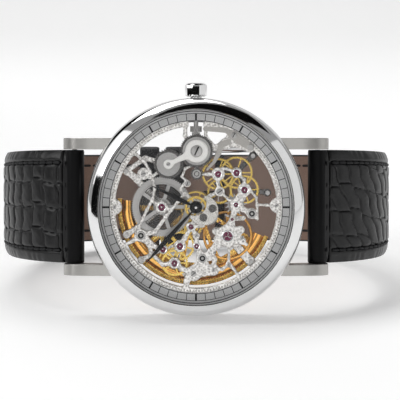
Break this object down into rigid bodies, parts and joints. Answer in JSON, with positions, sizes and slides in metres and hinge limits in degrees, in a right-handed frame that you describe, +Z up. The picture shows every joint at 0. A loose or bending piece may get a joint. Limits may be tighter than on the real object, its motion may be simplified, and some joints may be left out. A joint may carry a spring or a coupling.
{
  "type": "wristwatch",
  "caption": "Openworked automatic wristwatch: round polished steel case, skeleton movement with rotor, black lance hands, scaled leather strap on a pin buckle",
  "frame": {"origin": "Middle of the footprint, on the ground the watch stands on", "axes": "+Z up to the crown, -Y the way the dial faces (leaning back a little), +X from 12 o'clock to 6 o'clock"},
  "size_m": [0.065, 0.0614, 0.0369],
  "materials": {
    "polished_steel": "mirror-polished stainless steel",
    "satin_steel": "fine-brushed and engraved steel",
    "silvered_plate": "rhodium-plated, hammered and engraved",
    "movement_steel": "polished hardened steel",
    "brass": "gilt brass, circular grained",
    "rotor_gold": "gilt, engraved with scrolls",
    "balance_gold": "polished copper-beryllium",
    "black_hands": "gloss black",
    "grey_dial": "matt grey with black printed scale",
    "crystal": "clear sapphire",
    "strap_leather": "black leather with a scaled grain, brown lining"
  },
  "bodies": {
    "case": {"case_band": "polished_steel", "bezel": "polished_steel", "crystal": "crystal", "chapter_ring": "grey_dial", "movement_ring": "satin_steel", "case_back": "polished_steel", "back_crystal": "crystal", "crown_tube": "satin_steel", "spring_bar_12": "satin_steel", "mainplate": "silvered_plate", "barrel_bridge": "silvered_plate", "train_bridge": "silvered_plate", "automatic_bridge": "silvered_plate", "balance_cock": "silvered_plate", "pallet_bridge": "silvered_plate", "hairspring": "movement_steel", "crown_wheel_cover": "polished_steel", "setting_cover": "polished_steel", "rotor_bearing": "movement_steel"},
    "minute_hand": {"minute_hand": "black_hands", "cannon_pinion": "movement_steel"},
    "hour_hand": {"hour_hand": "black_hands", "hour_wheel": "brass"},
    "minute_wheel": {"minute_wheel": "movement_steel"},
    "barrel": {"barrel_drum": "movement_steel", "mainspring": "movement_steel"},
    "centre_wheel": {"centre_wheel": "brass"},
    "intermediate_wheel": {"intermediate_wheel": "brass"},
    "third_wheel": {"third_wheel": "brass"},
    "fourth_wheel": {"fourth_wheel": "brass"},
    "fifth_wheel": {"fifth_wheel": "brass"},
    "escape_wheel": {"escape_wheel": "movement_steel"},
    "pallet_fork": {"pallet_fork": "movement_steel"},
    "balance": {"balance_wheel": "balance_gold"},
    "rotor": {"rotor_weight": "rotor_gold", "rotor_arms": "rotor_gold"},
    "reverser_wheel": {"reverser_wheel": "brass"},
    "reduction_wheel": {"reduction_wheel": "brass"},
    "transfer_wheel": {"transfer_wheel": "brass"},
    "ratchet_driver": {"ratchet_driver": "brass"},
    "ratchet": {"ratchet_wheel": "movement_steel", "barrel_arbor": "movement_steel"},
    "click": {"click": "movement_steel"},
    "winding_pinion": {"winding_pinion": "movement_steel"},
    "crown": {"crown": "polished_steel", "winding_stem": "satin_steel"},
    "clutch_wheel": {"clutch_wheel": "movement_steel"},
    "crown_wheel": {"crown_wheel": "movement_steel"},
    "winding_wheel": {"winding_wheel": "movement_steel"},
    "setting_wheel": {"setting_wheel": "movement_steel"},
    "setting_lever": {"setting_lever": "polished_steel"},
    "yoke": {"yoke": "polished_steel"},
    "strap": {"strap_short": "strap_leather", "strap_long": "strap_leather", "keeper_fixed": "strap_leather", "buckle_frame": "polished_steel", "buckle_bar": "satin_steel", "spring_bar_6": "satin_steel"},
    "buckle_tongue": {"buckle_tongue": "polished_steel"},
    "keeper_free": {"keeper_free": "strap_leather"}
  },
  "joints": [
    {"name": "minute_hand_turn", "type": "hinge", "parent": "case", "child": "minute_hand", "pos_m": [0, -0.02582, 0.01766], "axis": [0, 0.9889, -0.1489], "continuous": true},
    {"name": "hour_hand_turn", "type": "hinge", "parent": "case", "child": "hour_hand", "pos_m": [0, -0.02582, 0.01766], "axis": [0, 0.9889, -0.1489], "continuous": true},
    {"name": "minute_wheel_turn", "type": "hinge", "parent": "case", "child": "minute_wheel", "pos_m": [0.00185, -0.02599, 0.01652], "axis": [0, 0.9889, -0.1489], "continuous": true},
    {"name": "fifth_wheel_turn", "type": "hinge", "parent": "case", "child": "fifth_wheel", "pos_m": [0.00756, -0.02403, 0.02012], "axis": [0, 0.9889, -0.1489], "continuous": true},
    {"name": "escape_wheel_turn", "type": "hinge", "parent": "case", "child": "escape_wheel", "pos_m": [0.00625, -0.02438, 0.01783], "axis": [0, 0.9889, -0.1489], "continuous": true},
    {"name": "fourth_wheel_turn", "type": "hinge", "parent": "case", "child": "fourth_wheel", "pos_m": [0.00634, -0.02364, 0.02275], "axis": [0, 0.9889, -0.1489], "continuous": true},
    {"name": "third_wheel_turn", "type": "hinge", "parent": "case", "child": "third_wheel", "pos_m": [0.00345, -0.02367, 0.02254], "axis": [0, 0.9889, -0.1489], "continuous": true},
    {"name": "intermediate_wheel_turn", "type": "hinge", "parent": "case", "child": "intermediate_wheel", "pos_m": [0.0037, -0.02408, 0.01982], "axis": [0, 0.9889, -0.1489], "continuous": true},
    {"name": "centre_wheel_turn", "type": "hinge", "parent": "case", "child": "centre_wheel", "pos_m": [0, -0.02444, 0.01745], "axis": [0, 0.9889, -0.1489], "continuous": true},
    {"name": "barrel_turn", "type": "hinge", "parent": "case", "child": "barrel", "pos_m": [-0.00535, -0.02444, 0.01745], "axis": [0, 0.9889, -0.1489], "continuous": true},
    {"name": "pallet_fork_swing", "type": "hinge", "parent": "case", "child": "pallet_fork", "pos_m": [0.00565, -0.02492, 0.01558], "axis": [0, 0.9889, -0.1489], "range_deg": [-4, 4]},
    {"name": "balance_swing", "type": "hinge", "parent": "case", "child": "balance", "pos_m": [0.00495, -0.02471, 0.01294], "axis": [0, 0.9889, -0.1489], "range_deg": [-135, 135], "stiffness_Nm_per_rad": 0.00000015},
    {"name": "rotor_turn", "type": "hinge", "parent": "case", "child": "rotor", "pos_m": [0, -0.02256, 0.01717], "axis": [0, 0.9889, -0.1489], "continuous": true},
    {"name": "reverser_wheel_turn", "type": "hinge", "parent": "case", "child": "reverser_wheel", "pos_m": [-0.0008, -0.0241, 0.01432], "axis": [0, 0.9889, -0.1489], "continuous": true},
    {"name": "reduction_wheel_turn", "type": "hinge", "parent": "case", "child": "reduction_wheel", "pos_m": [-0.0025, -0.02455, 0.0113], "axis": [0, 0.9889, -0.1489], "continuous": true},
    {"name": "transfer_wheel_turn", "type": "hinge", "parent": "case", "child": "transfer_wheel", "pos_m": [-0.00335, -0.02495, 0.00868], "axis": [0, 0.9889, -0.1489], "continuous": true},
    {"name": "ratchet_driver_turn", "type": "hinge", "parent": "case", "child": "ratchet_driver", "pos_m": [-0.00515, -0.02463, 0.0108], "axis": [0, 0.9889, -0.1489], "continuous": true},
    {"name": "ratchet_turn", "type": "hinge", "parent": "case", "child": "ratchet", "pos_m": [-0.00535, -0.02364, 0.01733], "axis": [0, 0.9889, -0.1489], "continuous": true},
    {"name": "click_swing", "type": "hinge", "parent": "case", "child": "click", "pos_m": [-0.0092, -0.02259, 0.02162], "axis": [0, 0.9889, -0.1489], "range_deg": [0, 5]},
    {"name": "crown_turn", "type": "hinge", "parent": "case", "child": "winding_pinion", "pos_m": [0, -0.02334, 0.02942], "axis": [0, 0.1489, 0.9889], "continuous": true},
    {"name": "crown_pull", "type": "slide", "parent": "winding_pinion", "child": "crown", "axis": [0, 0.1489, 0.9889], "range_m": [0, 0.001]},
    {"name": "clutch_shift", "type": "slide", "parent": "winding_pinion", "child": "clutch_wheel", "axis": [0, 0.1489, 0.9889], "range_m": [-0.00035, 0]},
    {"name": "crown_wheel_turn", "type": "hinge", "parent": "case", "child": "crown_wheel", "pos_m": [0.0001, -0.02462, 0.02632], "axis": [0, 0.9889, -0.1489], "continuous": true},
    {"name": "winding_wheel_turn", "type": "hinge", "parent": "case", "child": "winding_wheel", "pos_m": [-0.0043, -0.02492, 0.0243], "axis": [0, 0.9889, -0.1489], "continuous": true},
    {"name": "setting_wheel_turn", "type": "hinge", "parent": "case", "child": "setting_wheel", "pos_m": [0.0001, -0.02514, 0.02282], "axis": [0, 0.9889, -0.1489], "continuous": true},
    {"name": "setting_lever_swing", "type": "hinge", "parent": "case", "child": "setting_lever", "pos_m": [0.0059, -0.02422, 0.02874], "axis": [0, 0.9889, -0.1489], "range_deg": [0, 4]},
    {"name": "yoke_swing", "type": "hinge", "parent": "case", "child": "yoke", "pos_m": [0.0039, -0.02447, 0.02727], "axis": [0, -0.9889, 0.1489], "range_deg": [0, 3]},
    {"name": "strap_swing", "type": "hinge", "parent": "case", "child": "strap", "pos_m": [-0.01915, -0.02246, 0.01715], "axis": [0, 0.1489, 0.9889], "range_deg": [0, 25]},
    {"name": "buckle_tongue_swing", "type": "hinge", "parent": "strap", "child": "buckle_tongue", "pos_m": [0.004, 0.02446, 0.01009], "axis": [0, 0.1489, 0.9889], "range_deg": [0, 8]},
    {"name": "keeper_slide", "type": "slide", "parent": "strap", "child": "keeper_free", "axis": [-0.9996, -0.0285, 0.0043], "range_m": [0, 0.002]}
  ],
  "couplings": [
    {"joint": "hour_hand_turn", "follows": "minute_hand_turn", "ratio": 0.083333},
    {"joint": "minute_wheel_turn", "follows": "minute_hand_turn", "ratio": -0.33333},
    {"joint": "escape_wheel_turn", "follows": "fifth_wheel_turn", "ratio": -6},
    {"joint": "fourth_wheel_turn", "follows": "fifth_wheel_turn", "ratio": -0.16},
    {"joint": "third_wheel_turn", "follows": "fifth_wheel_turn", "ratio": 0.025},
    {"joint": "intermediate_wheel_turn", "follows": "fifth_wheel_turn", "ratio": -0.010638},
    {"joint": "centre_wheel_turn", "follows": "fifth_wheel_turn", "ratio": 0.0083333},
    {"joint": "barrel_turn", "follows": "fifth_wheel_turn", "ratio": -0.0011905},
    {"joint": "reverser_wheel_turn", "follows": "rotor_turn", "ratio": -0.75},
    {"joint": "reduction_wheel_turn", "follows": "rotor_turn", "ratio": 0.3913},
    {"joint": "transfer_wheel_turn", "follows": "rotor_turn", "ratio": -0.13043},
    {"joint": "ratchet_driver_turn", "follows": "rotor_turn", "ratio": 0.028355},
    {"joint": "ratchet_turn", "follows": "rotor_turn", "ratio": -0.016203},
    {"joint": "clutch_shift", "follows": "crown_pull", "ratio": -0.35},
    {"joint": "crown_wheel_turn", "follows": "crown_turn", "ratio": 0.26923},
    {"joint": "winding_wheel_turn", "follows": "crown_turn", "ratio": -0.31111},
    {"joint": "setting_wheel_turn", "follows": "crown_turn", "ratio": -0.77778},
    {"joint": "setting_lever_swing", "follows": "crown_pull", "rad_per_m": 69.813},
    {"joint": "yoke_swing", "follows": "crown_pull", "rad_per_m": 52.36}
  ]
}
